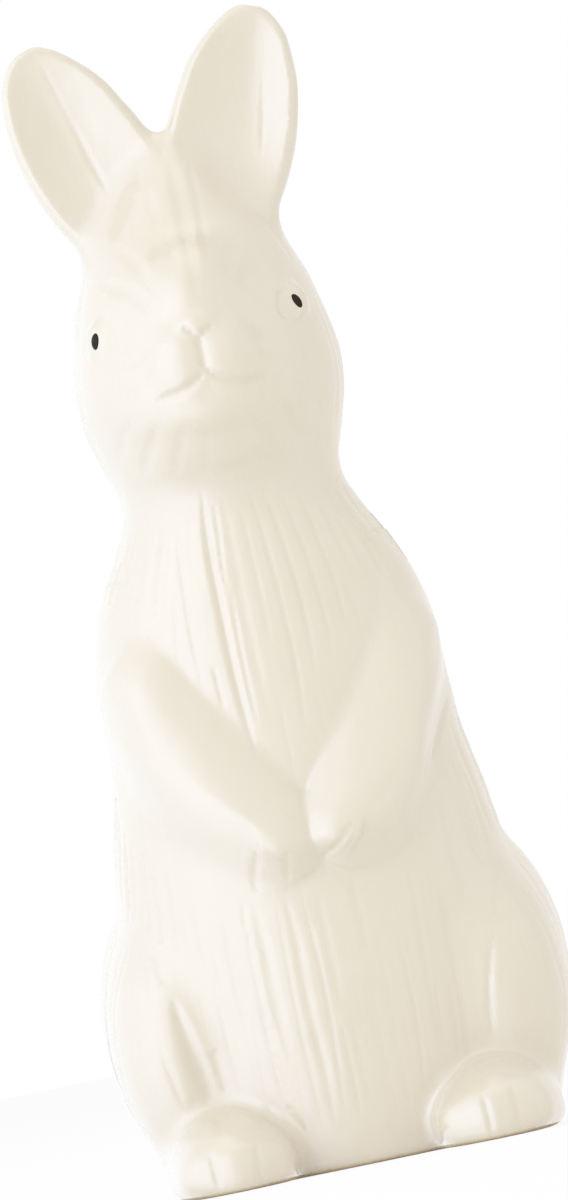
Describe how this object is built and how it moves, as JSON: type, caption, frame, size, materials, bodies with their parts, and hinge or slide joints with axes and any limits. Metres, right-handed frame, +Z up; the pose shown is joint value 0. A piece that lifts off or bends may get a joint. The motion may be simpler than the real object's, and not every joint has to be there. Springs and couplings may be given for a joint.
{
  "type": "ceramic rabbit figurine",
  "caption": "Glazed hollow ceramic rabbit that sits up on its haunches with paws on its belly and ears raised, resting on a flat unglazed base.",
  "frame": {"origin": "centre of the footprint, on the surface the figurine stands on", "axes": "+Z up, the rabbit faces -Y, its left side is +X"},
  "size_m": [0.102, 0.0979, 0.25],
  "materials": {
    "glaze": "gloss ivory glaze",
    "eye_colour": "dark painted dab under the glaze",
    "bare_clay": "unglazed fired clay"
  },
  "bodies": {
    "root": {"trunk": "glaze", "head": "glaze", "ear_left": "glaze", "ear_right": "glaze", "foreleg_left": "glaze", "foreleg_right": "glaze", "haunch_left": "glaze", "haunch_right": "glaze", "hind_foot_left": "glaze", "hind_foot_right": "glaze", "tail": "glaze", "eye_left": "eye_colour", "eye_right": "eye_colour", "base_plate": "bare_clay"}
  },
  "joints": []
}
